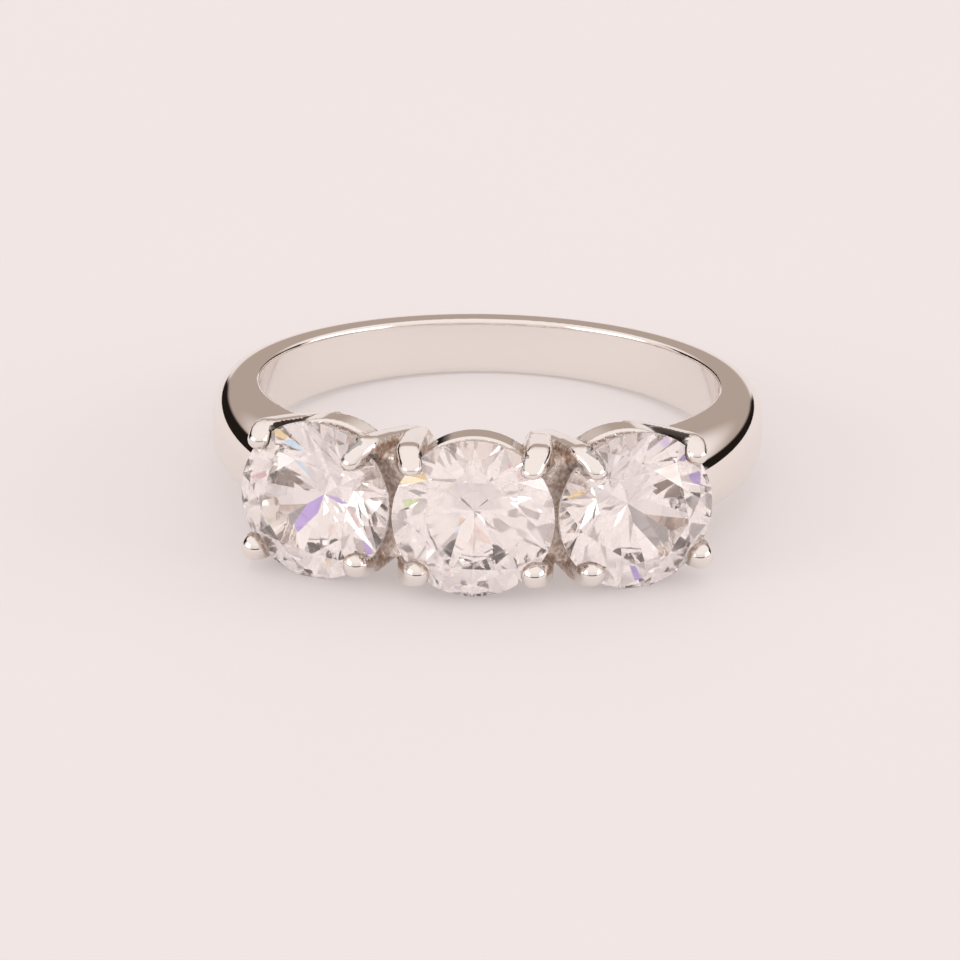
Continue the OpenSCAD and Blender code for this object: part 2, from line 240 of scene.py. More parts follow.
def prong_line(side, hand, up):
    """Points along one prong, with its radius, squareness and flatness at each of them."""
    kind = "centre" if side == 0 else "outer" if hand == side else "inner"
    one = side + 1, (hand + 1) // 2, (up + 1) // 2
    place, lean_in = math.radians(PLACE[kind] + np.array(BENT)[one]), np.array(LEANT)[one]
    reach, bend = STONE_R + BESIDE[kind], KNEE[kind]
    across, rise = hand * math.cos(place), up * math.sin(place)
    foot = on_finger((side or hand) * FOOT[kind], up * FOOT_Z)
    knee = seat(side, across * reach, rise * reach, -bend)
    along = knee - foot
    rows = [foot + along * t for t in np.linspace(-BURIED, 1, 40)]
    for t in np.linspace(0, 1, 14)[1:]:
        r = reach - lean_in * t**LEAN_POWER
        out = (PRONG_TOP - PRONG_R) * t - bend * (1 - t)
        rows.append(seat(side, across * r, rise * r, out))
    rows = np.array(rows)
    for _ in range(SMOOTHINGS):
        rows[1:-1] += 0.5 * ((rows[:-2] + rows[2:]) / 2 - rows[1:-1])
    grown = np.clip((rows - foot) @ along / (along @ along) / FULL_WIDTH_AT, 0, 1)
    from_nose = np.linalg.norm(rows - rows[-1], axis=1)
    square = ROUND + (SQUARE - ROUND) * np.clip(from_nose / NOSE_LENGTH, 0, 1)
    filed = (up > 0) * np.clip(1 - from_nose / FILED_LENGTH, 0, 1)
    radii = (FOOT_R + (PRONG_R - FOOT_R) * grown) * (1 - FILED_SIDES * filed)
    return rows, radii, square, 1 - (1 - FILED[kind]) * filed


def bar(points, *shape):
    """A bar with a flattened top, given by the points along it and by its shape at each of them."""
    up = np.array([0, 0, 1])

    def field(p):
        nearest = np.full(len(p), 1e9)
        rows = list(zip(points, *shape))
        for (a, ra, na, ta), (b, rb, nb, tb) in zip(rows, rows[1:]):
            length = np.linalg.norm(b - a)
            ahead = (b - a) / length
            sideways = np.cross(ahead, up) / np.linalg.norm(np.cross(ahead, up))
            w = p - a
            t = np.clip(w @ ahead / length, 0, 1)
            upright = w @ np.cross(sideways, ahead) / (ta + (tb - ta) * t)
            parts = np.abs(np.stack([w @ sideways, upright, w @ ahead - t * length]))
            n = na + (nb - na) * t
            nearest = np.minimum(nearest, (parts**n).sum(0) ** (1 / n) - ra - (rb - ra) * t)
        return nearest

    return field


points, *_ = prong_line(0, -1, 1)
length = np.linalg.norm(np.diff(points, axis=0), axis=1).sum()
print("a centre prong is", round(float(length), 2), "mm long")

# %% [markdown]
# ## Rails, webs, wells and seats
#
# A rail, which is a flat band bent into a ring, joins the four prongs of each stone behind its
# girdle. Between two stones a web of metal ties their prongs together, scalloped across its
# front. Then come the cuts: a well under each stone with a light hole through the shank, and the
# seat itself, turned to the shape of the stone with a hair of clearance. All of these but the
# webs are round about a stone's axis, so they are drawn as outlines in one plane.

# %% Rails, webs, wells and seats as fields
BORED_TO, OPEN_TO = -4.87, 3
RAIL_R, RAIL_T, RAIL_H, RAIL_DROP, LIGHT_R = 2.76, 0.5, 1.1, 1.7, 1.1
WEB_HALF, WEB_ROOT, WEB_REACH, WEB_DROP, SCALLOP_R, SCALLOP_OUT = 2.0, 3.6, 2.0, 0.6, 4, 3
WEB_FROM, WEB_TO = FOOT["centre"] - WEB_ROOT, FOOT["inner"] + WEB_ROOT
RAIL_EDGE, WEB_EDGE, SCALLOP_EDGE = 0.14, 0.2, 0.12
SEAT_GAP, TABLE_SHARE, CROWN, PAVILION = 0.04, 0.6, 34.5, 40.75
TABLE_R = STONE_R * TABLE_SHARE
TABLE_Z = HALF_GIRDLE + (STONE_R - TABLE_R) * math.tan(math.radians(CROWN))
CULET_Z = -HALF_GIRDLE - STONE_R * math.tan(math.radians(PAVILION))


def turned(side, corners):
    """An outline turned round a stone's axis. It starts past the axis, so the axis is no edge."""

    def field(p):
        across, up, out = from_seat(side, p)
        return outline(np.hypot(across, up), out, corners)

    return field


def rail(side):
    """The flat band behind a stone's girdle."""

    def field(p):
        across, up, out = from_seat(side, p)
        thick = np.abs(np.hypot(across, up) - (RAIL_R - RAIL_T / 2)) - RAIL_T / 2
        return common(thick, np.abs(out + RAIL_DROP) - RAIL_H / 2, RAIL_EDGE)

    return field


def web(side):
    """The block between the centre stone and a side stone, scalloped across its front."""
    plan = [
        on_finger(side * WEB_FROM, 0),
        on_finger(side * WEB_TO, 0),
        seat(side, -side * WEB_REACH, 0, -WEB_DROP),
        seat(0, side * WEB_REACH, 0, -WEB_DROP),
    ]
    plan = [tuple(corner[:2]) for corner in plan]

    def field(p):
        block = common(outline(p[:, 0], p[:, 1], plan), np.abs(p[:, 2]) - WEB_HALF, WEB_EDGE)
        scallop = np.hypot(p[:, 1] - (GIRDLE_Y - SCALLOP_OUT), p[:, 2]) - SCALLOP_R
        return carved(block, scallop, SCALLOP_EDGE)

    return field


def well(side):
    """The room behind a stone, which narrows to its light hole."""
    narrow = FINGER_R + BRIDGE_T - np.linalg.norm(seat(side, 0, 0, 0))
    inside = RAIL_R - RAIL_T / 2
    corners = [(-1, BORED_TO), (LIGHT_R, BORED_TO), (LIGHT_R, narrow)]
    corners += [(inside, -RAIL_DROP - RAIL_H / 2), (inside, -HALF_GIRDLE), (-1, -HALF_GIRDLE)]
    return turned(side, corners)


def stone_room(side):
    """The seat: a stone's outline with its clearance, open in front of the table."""
    crown = (STONE_R + SEAT_GAP, HALF_GIRDLE + SEAT_GAP)
    pavilion = (STONE_R + SEAT_GAP, -HALF_GIRDLE - SEAT_GAP)
    corners = [(-1, CULET_Z - SEAT_GAP), (0, CULET_Z - SEAT_GAP), pavilion, crown]
    above = [(TABLE_R + SEAT_GAP, TABLE_Z + SEAT_GAP), (TABLE_R, OPEN_TO), (-1, OPEN_TO)]
    return turned(side, corners + above)


print("stone depth, table to culet:", round(TABLE_Z - CULET_Z, 2), "mm")

# %% [markdown]
# ## The order of work
#
# The steps follow a caster's: build up the metal, bore the finger hole, open the wells, lay in the
# rails, and cut the seats last. Each step says how it meets the metal that is already there, the
# radius of that corner, and the box outside which it changes nothing, so that the arithmetic is
# only done where it is needed.

# %% The whole casting as one field
NEAR = 0.6
BAND_MIDDLE, BAND_REACH, BAND_HALF = 1.2, 2.2, 2.3
EVERYWHERE = np.array([30.0, 30.0, 30.0])


def finger_hole(p):
    return np.hypot(p[:, 0], p[:, 1]) - FINGER_R


def boxed(how, field, corners, margin, radius):
    """One step of the work, with the box outside which it changes nothing."""
    corners = np.array(corners)
    return how, field, corners.min(0) - margin - NEAR, corners.max(0) + margin + NEAR, radius


steps = []
for side in (-1, 1):
    feet = [on_finger(side * WEB_FROM, -WEB_HALF), on_finger(side * WEB_TO, WEB_HALF)]
    ends = feet + [seat(side, -side * WEB_REACH, 0, 0), seat(0, side * WEB_REACH, 0, 0)]
    steps.append(boxed(fused, web(side), ends, 0, 0.15))
for side in SIDES.values():
    for hand in (-1, 1):
        for up in (-1, 1):
            points, *shape = prong_line(side, hand, up)
            steps.append(boxed(fused, bar(points, *shape), points, PRONG_R, 0.12))
steps.append(boxed(carved, finger_hole, [EVERYWHERE, -EVERYWHERE], 0, 0.1))
round_a_stone = [
    (carved, well, 1, 5.2, 0.06),
    (fused, rail, RAIL_DROP, RAIL_R, 0.1),
    (carved, stone_room, 1, 3.6, 0.03),
]
for how, shape_at, drop, margin, radius in round_a_stone:
    for side in SIDES.values():
        steps.append(boxed(how, shape_at(side), [seat(side, 0, 0, -drop)], margin, radius))


def casting(p):
    """How far each point is from the metal of the mount, in millimetres."""
    d = np.full(len(p), NEAR)
    in_band = np.abs(finger_hole(p) - BAND_MIDDLE) < BAND_REACH
    band = in_band & (np.abs(p[:, 2]) < BAND_HALF)
    d[band] = np.minimum(shank(p[band]), NEAR)
    for how, field, low, high, radius in steps:
        here = np.flatnonzero(((p > low) & (p < high)).all(1))
        if len(here):
            d[here] = how(d[here], field(p[here]), radius)
    return d


print(len(steps), "steps after the shank")

# %% [markdown]
# ## From field to mesh
#
# Sampling the field on a grid and joining the cells where it changes sign gives a closed net of
# quads. The net is only as smooth as its grid, which is not good enough for a mirror finish, so
# each point is then walked along the field's slope until it lies on the true surface. The slope
# there is also the exact normal, and the mesh keeps it for its shading.


# %% Wrap the field in a net of quads
def surface_net(values, low, pitch):
    """One point in each cell that the surface crosses, and a quad across each crossed edge."""
    cells, crossings, n = [], [], np.array(values.shape) - 1
    for axis in range(3):
        u, v = (axis + 1) % 3, (axis + 2) % 3
        here = np.take(values, np.arange(n[axis]), axis)
        ahead = np.take(values, np.arange(1, n[axis] + 1), axis)
        edge = np.argwhere((here < 0) != (ahead < 0))
        a, b = here[tuple(edge.T)], ahead[tuple(edge.T)]
        at = edge.astype(float)
        at[:, axis] += a / (a - b)
        quad = []
        for du, dv in ((-1, -1), (0, -1), (0, 0), (-1, 0)):
            c = edge.copy()
            c[:, u] += du
            c[:, v] += dv
            quad.append((c[:, 0] * n[1] + c[:, 1]) * n[2] + c[:, 2])
        quad = np.stack(quad, 1)
        quad[a >= 0] = quad[a >= 0][:, ::-1]
        cells.append(quad.ravel())
        crossings.append(np.repeat(at, 4, 0))
    _, name, count = np.unique(np.concatenate(cells), return_inverse=True, return_counts=True)
    crossings = np.concatenate(crossings)
    points = np.stack([np.bincount(name, crossings[:, i]) / count for i in range(3)], 1)
    return low + points * pitch, name.reshape(-1, 4)


def slope_of(field, p, reach):
    steps_along = np.eye(3) * reach
    return np.stack([(field(p + e) - field(p - e)) / (2 * reach) for e in steps_along], 1)


PITCH = 0.1
low, high = np.array([-10.8, -14.0, -3.1]), np.array([10.8, 10.6, 3.1])
ticks = [np.arange(a, b + PITCH, PITCH) for a, b in zip(low, high)]
values = np.empty([len(t) for t in ticks])
for first in range(0, len(ticks[0]), 24):
    slab = np.stack(np.meshgrid(ticks[0][first : first + 24], ticks[1], ticks[2], indexing="ij"), -1)
    values[first : first + 24] = casting(slab.reshape(-1, 3)).reshape(slab.shape[:3])
net, quads = surface_net(values, low, PITCH)
print("net of", len(net), "points and", len(quads), "quads")

# %% Draw the net onto the true surface
for _ in range(2):
    slope = slope_of(casting, net, 0.012)
    push = np.clip(casting(net), -PITCH, PITCH) / np.maximum((slope * slope).sum(1), 0.25)
    net = net - push[:, None] * slope
normals = slope_of(casting, net, 0.02)
normals /= np.linalg.norm(normals, axis=1)[:, None]
print("points left off the surface by more than 0.01 mm:", int((np.abs(casting(net)) > 0.01).sum()))

# %% [markdown]
# ## What the polisher can't reach, and painted shade
#
# A polishing wheel brightens what stands proud and never gets into the gaps between the stones,
# which keep the grainy skin of the casting. Painting that by hand wouldn't follow the shape, so
# the same field measures it. A point in a recess has metal or a stone close in front of it, and a
# point on an edge has air close behind it. The recesses are darkened partly as that skin and partly
# as painted shade. A third measure marks where shade is painted nearly black: the tops of the webs
# close to a stone, and the sides of the two upper outer prongs that face their stones. In the
# wells, which show only through a stone, the first measure counts for less. All three are kept on
# the mesh as attributes for the material to read.

# %% Measure recesses, edges and crevices
DEEP, EDGE_DEPTH, WEB_SHADE_REACH = 0.58, 0.25, 0.3
WELL_REACH, WELL_POLISH = 2.6, 0.3
STRAP_WIDTH, DARK_UP_TO = 0.8, 3.7
DARK_FROM = {-1: 0.28, 1: 0.0}


def rising(value, start, full):
    """0 up to the start, 1 from full on, and even between them."""
    return np.clip((value - start) / (full - start), 0, 1)


def beside_stones(p):
    """Distance to the nearest stone's seat."""
    return np.min([stone_room(side)(p) for side in SIDES.values()], 0)


def nearest_wall(p):
    """Distance to the metal or to a stone, whichever is closer."""
    return np.minimum(casting(p), beside_stones(p))


def in_wells(p):
    """Where the mount shows only through a stone."""
    places = [from_seat(side, p) for side in SIDES.values()]
    return np.any([(np.hypot(a, u) < WELL_REACH) & (o < -HALF_GIRDLE) for a, u, o in places], 0)


def strap_shade(side, p, start):
    """1 where shade is painted on the side of an upper outer prong facing its stone, nose to rail.
    """
    rows = prong_line(side, side, 1)[0][::2]
    gaps = np.linalg.norm(p[:, None] - rows, axis=2)
    nearest = gaps.argmin(1)
    inward = side * (from_seat(side, rows)[0][nearest] - from_seat(side, p)[0])
    from_nose = np.linalg.norm(rows - rows[-1], axis=1)[nearest]
    here = rising(inward, start, start + 0.125) * rising(from_nose, 0.5, 0.667)
    here *= rising(from_nose, DARK_UP_TO, DARK_UP_TO - 0.4)
    return here * (gaps.min(1) < STRAP_WIDTH) * (p[:, 2] > rows[nearest, 2] - 0.2)


# The recess measure marks the rough casting skin and also where shade is painted darker.
recess = np.clip(1 - nearest_wall(net + normals * DEEP) / DEEP, 0, 1)
recess[in_wells(net)] *= WELL_POLISH
edge = np.clip(1 + casting(net - normals * EDGE_DEPTH) / EDGE_DEPTH, 0, 1)
on_top = rising(net[:, 2], 1.667, 2)
# Painted shade, nearly black: web tops close to a stone and sides of upper outer prongs.
crevice_shade = np.clip(1 - beside_stones(net) / WEB_SHADE_REACH, 0, 1) * on_top
for side, start in DARK_FROM.items():
    crevice_shade = np.maximum(crevice_shade, strap_shade(side, net, start))
print("recess: mean", recess.mean().round(3), "edge: mean", edge.mean().round(3))

# %% Build the mount's mesh
mesh = bpy.data.meshes.new("mount")
mesh.from_pydata(lay_down(net).tolist(), [], quads.tolist())
mesh.shade_smooth()
mesh.normals_split_custom_set_from_vertices(lean(normals).tolist())
for name, amounts in (("recess", recess), ("crevice_shade", crevice_shade), ("edge", edge)):
    mesh.attributes.new(name, "FLOAT", "POINT").data.foreach_set("value", amounts.astype(np.float32))
mount = bpy.data.objects.new("mount", mesh)
bpy.context.scene.collection.objects.link(mount)
print("mount has", len(mesh.polygons), "faces and", len(mesh.attributes), "attributes")

# %% [markdown]
# ## The brilliant cut, by rule
#
# A round brilliant is the same eighth repeated round its axis: a table, stars, kites and halves on
# the crown, and mains and halves on the pavilion. Geometry Nodes suit that well. Each tier of
# corners is a circle of points at its own radius and height, and the stone is the convex hull
# round all of them, since no facet of a brilliant is hollow. The girdle's points ride up and down
# a little where the halves cut into it, which gives the scalloped edge of a real girdle.


# %% A small helper to wire up a node tree
class Sum:
    """A number in a node tree that can be added, multiplied and so on."""

    def __init__(self, tree, socket):
        self.tree, self.socket = tree, socket

    def op(self, operation, *others):
        node = self.tree.nodes.new("ShaderNodeMath")
        node.operation = operation
        for put, value in zip(node.inputs, (self,) + others):
            if isinstance(value, Sum):
                self.tree.links.new(value.socket, put)
            else:
                put.default_value = value
        return Sum(self.tree, node.outputs[0])

    def __add__(self, other):
        return self.op("ADD", other)

    def __sub__(self, other):
        return self.op("SUBTRACT", other)

    def __mul__(self, other):
        return self.op("MULTIPLY", other)

    def __truediv__(self, other):
        return self.op("DIVIDE", other)


def add_node(tree, kind, settings=(), **inputs):
    """A node with its settings, and its named inputs set or linked."""
    node = tree.nodes.new(kind)
    for key, value in dict(settings).items():
        setattr(node, key, value)
    for key, value in inputs.items():
        socket = node.inputs[key.replace("_", " ")]
        if isinstance(value, Sum):
            tree.links.new(value.socket, socket)
        elif isinstance(value, bpy.types.NodeSocket):
            tree.links.new(value, socket)
        else:
            socket.default_value = value
    return node


def brilliant_tree():
    tree = bpy.data.node_groups.new("brilliant cut", "GeometryNodeTree")
    face = tree.interface
    face.new_socket("Geometry", in_out="OUTPUT", socket_type="NodeSocketGeometry")
    sizes = {"Radius": STONE_R * MM, "Half girdle": HALF_GIRDLE * MM, "Table share": TABLE_SHARE}
    sizes |= {"Crown angle": CROWN, "Pavilion angle": PAVILION}
    sizes |= {"Star share": 0.5, "Keel share": 0.23, "Turn": 0.0}
    for label, value in sizes.items():
        face.new_socket(label, in_out="INPUT", socket_type="NodeSocketFloat").default_value = value
    for label in ("Seat", "Facing"):
        face.new_socket(label, in_out="INPUT", socket_type="NodeSocketVector")
    for label in ("Stone", "Girdle"):
        face.new_socket(label, in_out="INPUT", socket_type="NodeSocketMaterial")
    given = tree.nodes.new("NodeGroupInput")
    size = {label: Sum(tree, given.outputs[label]) for label in sizes}
    radius, half = size["Radius"], size["Half girdle"]
    crown = size["Crown angle"].op("RADIANS").op("TANGENT")
    pavilion = size["Pavilion angle"].op("RADIANS").op("TANGENT")
    eighth, chord = 45, 360 / 16
    cos_half = math.cos(math.radians(eighth / 2))
    table_r = radius * size["Table share"]
    table_z = half + (radius - table_r) * crown
    star_r = table_r * cos_half + (radius - table_r * cos_half) * size["Star share"]
    star_z = table_z - (star_r * cos_half - table_r) * crown
    keel_r = radius * size["Keel share"]
    keel_z = half * -1 - (radius - keel_r * cos_half) * pavilion
    culet_z = half * -1 - radius * pavilion

    def tier(count, r, z, turn):
        circle = add_node(tree, "GeometryNodeMeshCircle", Vertices=count, Radius=r)
        lift = add_node(tree, "ShaderNodeCombineXYZ", Z=z)
        moved = add_node(tree, "GeometryNodeTransform", Geometry=circle.outputs[0])
        tree.links.new(lift.outputs[0], moved.inputs["Translation"])
        moved.inputs["Rotation"].default_value = (0, 0, math.radians(turn))
        return moved.outputs[0]

    def girdle_edge(z, tip_r, tip_z):
        """64 points on a circle, lifted off its 16 chords onto the planes of the halves."""
        flat = tier(64, radius, z, 0)
        order = Sum(tree, add_node(tree, "GeometryNodeInputIndex").outputs[0])
        half_chord = math.radians(chord / 2)
        turn = order.op("MODULO", 4) * (half_chord / 2) - half_chord
        bulge = (turn.op("COSINE") - math.cos(half_chord)) * radius
        rise = (tip_z - z) / ((radius - tip_r) * math.cos(half_chord))
        shift = add_node(tree, "ShaderNodeCombineXYZ", Z=bulge * rise * -1)
        moved = add_node(tree, "GeometryNodeSetPosition", Geometry=flat, Offset=shift.outputs[0])
        return moved.outputs[0]

    lowest = add_node(tree, "ShaderNodeCombineXYZ", Z=culet_z).outputs[0]
    culet = add_node(tree, "GeometryNodeMeshLine", Count=1, Start_Location=lowest)
    corners = [
        tier(8, table_r, table_z, 0),
        tier(8, star_r, star_z, eighth / 2),
        girdle_edge(half, star_r, star_z),
        girdle_edge(half * -1, keel_r, keel_z),
        tier(8, keel_r, keel_z, eighth / 2),
        culet.outputs[0],
    ]
    gather = tree.nodes.new("GeometryNodeJoinGeometry")
    for corner in corners:
        tree.links.new(corner, gather.inputs[0])
    hull = add_node(tree, "GeometryNodeConvexHull", Geometry=gather.outputs[0])
    flat = add_node(tree, "GeometryNodeSetShadeSmooth", Geometry=hull.outputs[0])
    flat.inputs["Shade Smooth"].default_value = False
    spin = add_node(tree, "ShaderNodeCombineXYZ", Z=size["Turn"].op("RADIANS")).outputs[0]
    spun = add_node(tree, "GeometryNodeTransform", Geometry=flat.outputs[0], Rotation=spin)
    normal = add_node(tree, "GeometryNodeInputNormal").outputs[0]
    facing_up = add_node(tree, "ShaderNodeSeparateXYZ", Vector=normal).outputs["Z"]
    upright = Sum(tree, facing_up).op("ABSOLUTE").op("LESS_THAN", 0.05)
    boolean = {"data_type": "BOOLEAN", "domain": "FACE"}
    marked = add_node(tree, "GeometryNodeStoreNamedAttribute", boolean, Name="girdle")
    tree.links.new(spun.outputs[0], marked.inputs["Geometry"])
    tree.links.new(upright.socket, marked.inputs["Value"])
    placed = add_node(
        tree,
        "GeometryNodeTransform",
        Geometry=marked.outputs[0],
        Translation=given.outputs["Seat"],
        Rotation=given.outputs["Facing"],
    )
    real = add_node(tree, "GeometryNodeRealizeInstances", Geometry=placed.outputs[0]).outputs[0]
    boolean = {"data_type": "BOOLEAN"}
    where = add_node(tree, "GeometryNodeInputNamedAttribute", boolean, Name="girdle").outputs[0]
    for label, faces in (("Stone", None), ("Girdle", where)):
        given_to = add_node(tree, "GeometryNodeSetMaterial", Material=given.outputs[label])
        tree.links.new(real, given_to.inputs["Geometry"])
        if faces is not None:
            tree.links.new(faces, given_to.inputs["Selection"])
        real = given_to.outputs[0]
    result = tree.nodes.new("NodeGroupOutput")
    tree.links.new(real, result.inputs[0])
    return tree


cut = brilliant_tree()
print("brilliant cut tree has", len(cut.nodes), "nodes")

# %% [markdown]
# ## Polished white metal
#
# The mount is solid metal with a wheel polish. Its colour is nearly neutral, a touch warm. Four
# things keep it from looking like chrome plastic: very fine polishing lines that follow no edge,
# a little more haze where fingers and the wheel wear an edge, the recesses, where the casting
# skin is left as it was, grainy, rougher and browner, with painted shade darkening it further,
# and the crevices, where shade is painted almost black. The measures made with the mesh steer the
# mix.


# %% Helpers for materials
def new_material(name):
    material = bpy.data.materials.new(name)
    material.use_nodes = True
    tree = material.node_tree
    return material, tree, tree.nodes["Principled BSDF"]


def pattern(tree, scale_per_mm, detail=3.0, stretch=(1, 1, 1)):
    """Noise on Object coordinates, sized in cells a millimetre."""
    place = tree.nodes.new("ShaderNodeTexCoord")
    scale = add_node(tree, "ShaderNodeMapping", Vector=place.outputs["Object"])
    scale.inputs["Scale"].default_value = [1000 * scale_per_mm * s for s in stretch]
    noise = add_node(tree, "ShaderNodeTexNoise", Vector=scale.outputs[0], Scale=1.0, Detail=detail)
    return Sum(tree, noise.outputs["Fac"])


def measure(tree, name):
    """One of the measures that the mesh carries."""
    node = add_node(tree, "ShaderNodeAttribute", {"attribute_name": name})
    return Sum(tree, node.outputs["Fac"])


def ramp(tree, value, low, high, to_low=0.0, to_high=1.0):
    """A smooth step from one number to another as the value goes from low to high."""
    node = add_node(tree, "ShaderNodeMapRange", {"interpolation_type": "SMOOTHSTEP"}, Value=value)
    ends = {"From Min": low, "From Max": high, "To Min": to_low, "To Max": to_high}
    for label, number in ends.items():
        node.inputs[label].default_value = number
    return Sum(tree, node.outputs[0])


def blend_colours(tree, amount, first, second):
    mix = add_node(tree, "ShaderNodeMix", {"data_type": "RGBA"})
    tree.links.new(amount.socket, mix.inputs["Factor"])
    for socket, colour in ((mix.inputs["A"], first), (mix.inputs["B"], second)):
        if isinstance(colour, (tuple, list)):
            socket.default_value = (*colour, 1)
        else:
            tree.links.new(colour, socket)
    return mix.outputs["Result"]


print("helpers ready")

# %% Polished metal with cast recesses
metal, tree, shader = new_material("polished white metal")
grain = pattern(tree, 7, 4)
deep = ramp(tree, measure(tree, "recess") + grain * 0.5, 0.5, 0.85)
worn = ramp(tree, measure(tree, "edge") + pattern(tree, 2.5) * 0.2, 0.75, 1.05)
lines = pattern(tree, 2, 2, (1, 6, 30))
# Recesses get a darker, browner colour: partly casting skin, partly painted shade.
skin_and_shade = blend_colours(tree, ramp(tree, grain, 0.4, 0.62), (0.55, 0.44, 0.37), (0.85, 0.76, 0.7))
# Painted shade: the crevice measure blends the colour to nearly black.
black = ramp(tree, measure(tree, "crevice_shade") + grain * 0.6, 0.7, 0.85)
tone = blend_colours(tree, deep, (0.9, 0.855, 0.82), skin_and_shade)
tone = blend_colours(tree, black, tone, (0.04, 0.028, 0.022))
tone = blend_colours(tree, worn * 0.5, tone, (0.94, 0.91, 0.89))
haze = pattern(tree, 0.5, 2) * 0.03 + lines * 0.02
rough = haze + 0.02 + worn * 0.06 + deep * (grain * 0.3 + 0.25)
shader.inputs["Metallic"].default_value = 1.0
tree.links.new(tone, shader.inputs["Base Color"])
tree.links.new(rough.socket, shader.inputs["Roughness"])
height = lines * 0.004 + deep * grain * 1.0
bump = add_node(tree, "ShaderNodeBump", Height=height, Strength=0.6, Distance=0.06 * MM)
tree.links.new(bump.outputs[0], shader.inputs["Normal"])
mount.data.materials.append(metal)
print("metal uses", len(tree.nodes), "nodes")

# %% [markdown]
# ## Colourless stones with fire
#
# A cut stone has no colour of its own. What shows is the room, bent and thrown back by the
# facets. A real stone also splits the light into colours on the way. Three glass shaders with
# three bending powers can do that, but they take twice the time and give thin fringes, where the
# photograph has whole facets of violet, yellow or blue. So one clear shader bends the light here,
# and the light tent holds small coloured patches for the stones to find. Its bending power is
# a little under that of cubic zirconia, which gives the calm middle that the stones have in the
# photograph. A thin veil stands for the film that fingers leave on the polish. The girdle is
# ground, not polished, so it gets a frosted material of its own.

# %% Clear stone, and its ground girdle
BENDING = 1.9
clear, tree, shader = new_material("clear stone")
shader.inputs["Base Color"].default_value = (0.985, 0.985, 0.99, 1)
shader.inputs["Transmission Weight"].default_value = 1.0
shader.inputs["IOR"].default_value = BENDING
film = pattern(tree, 0.8, 2)
tree.links.new(ramp(tree, film, 0.55, 0.8, 0.0, 0.012).socket, shader.inputs["Roughness"])
waves = pattern(tree, 3, 2)
polish = add_node(tree, "ShaderNodeBump", Height=waves, Strength=0.006, Distance=0.01 * MM)
tree.links.new(polish.outputs[0], shader.inputs["Normal"])
film_light = add_node(tree, "ShaderNodeBsdfDiffuse", Color=(0.9, 0.8, 0.76, 1))
veil = tree.nodes.new("ShaderNodeMixShader")
tree.links.new(ramp(tree, film, 0.3, 0.7, 0.02, 0.08).socket, veil.inputs[0])
tree.links.new(shader.outputs[0], veil.inputs[1])
tree.links.new(film_light.outputs[0], veil.inputs[2])
tree.links.new(veil.outputs[0], tree.nodes["Material Output"].inputs["Surface"])

frosted, tree, shader = new_material("ground girdle")
shader.inputs["Base Color"].default_value = (0.97, 0.97, 0.98, 1)
shader.inputs["Transmission Weight"].default_value = 1.0
shader.inputs["IOR"].default_value = BENDING
ground = pattern(tree, 12, 3)
tree.links.new(ramp(tree, ground, 0.2, 0.8, 0.2, 0.45).socket, shader.inputs["Roughness"])
tooth = add_node(tree, "ShaderNodeBump", Height=ground, Strength=0.3, Distance=0.01 * MM)
tree.links.new(tooth.outputs[0], shader.inputs["Normal"])
print("stone materials ready")

# %% [markdown]
# ## Cutting and setting the three stones
#
# The three stones are the same cut. Each gets the tree with its own seat, the direction in which
# it faces, and the turn at which the setter happened to drop it in. The result is made a plain
# mesh, so nothing of the tree is left on the finished stone, and it stands for the stone's solid.


# %% Cut the stones and set them
def cut_stone(name, side, turn):
    work = bpy.data.objects.new(name + "_work", bpy.data.meshes.new(name + "_work"))
    bpy.context.scene.collection.objects.link(work)
    modifier = work.modifiers.new("cut", "NODES")
    modifier.node_group = cut
    sockets = [item for item in cut.interface.items_tree if item.in_out == "INPUT"]
    socket = {item.name: item.identifier for item in sockets}
    axes = np.array([seat(side, *axis) - seat(side, 0, 0, 0) for axis in np.eye(3)])
    facing = Matrix(lean(axes).T.tolist()).to_euler()
    modifier[socket["Seat"]] = lay_down(seat(side, 0, 0, 0)[None])[0].tolist()
    modifier[socket["Facing"]] = list(facing)
    modifier[socket["Turn"]] = turn
    modifier[socket["Stone"]] = clear
    modifier[socket["Girdle"]] = frosted
    cut_work = work.evaluated_get(bpy.context.evaluated_depsgraph_get())
    made = bpy.data.meshes.new_from_object(cut_work)
    bpy.data.objects.remove(work)
    made.name = name
    stone = bpy.data.objects.new(name, made)
    bpy.context.scene.collection.objects.link(stone)
    return stone


stones = {}
for label, turn in (("left", 11.25), ("centre", 22.5), ("right", -11.25)):
    stones[label] = cut_stone(label + "_brilliant", SIDES[label], turn)
    print(label, "stone:", len(stones[label].data.polygons), "faces")

# %% [markdown]
# ## The table it lies on
#
# The photograph has a seamless, pale, slightly pink ground that glows like a light table. A wide
# flat sheet does that; it only has to be big enough that its end never shows. It glows a little
# and is lit as well, so that the ring's shadow stays faint and soft. A very faint mottling keeps
# it from looking like a computer's flat colour. The glow isn't sampled as a lamp, because the
# tent gives all the light that is needed.

# %% Lay the floor
floor_mesh = bpy.data.meshes.new("floor")
reach = 1.6
corners = [(-reach, -reach, 0), (reach, -reach, 0), (reach, reach, 0), (-reach, reach, 0)]
floor_mesh.from_pydata(corners, [], [(0, 1, 2, 3)])
floor = bpy.data.objects.new("floor", floor_mesh)
bpy.context.scene.collection.objects.link(floor)
paper, tree, shader = new_material("pale paper")
mottle = blend_colours(tree, pattern(tree, 0.05, 2), (0.485, 0.467, 0.470), (0.495, 0.477, 0.480))
tree.links.new(mottle, shader.inputs["Base Color"])
shader.inputs["Emission Color"].default_value = (0.86, 0.775, 0.76, 1)
shader.inputs["Emission Strength"].default_value = 0.4
shader.inputs["Roughness"].default_value = 0.9
floor.data.materials.append(paper)
paper.cycles.emission_sampling = "NONE"
floor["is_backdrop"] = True
print("floor", 2 * reach, "m across")

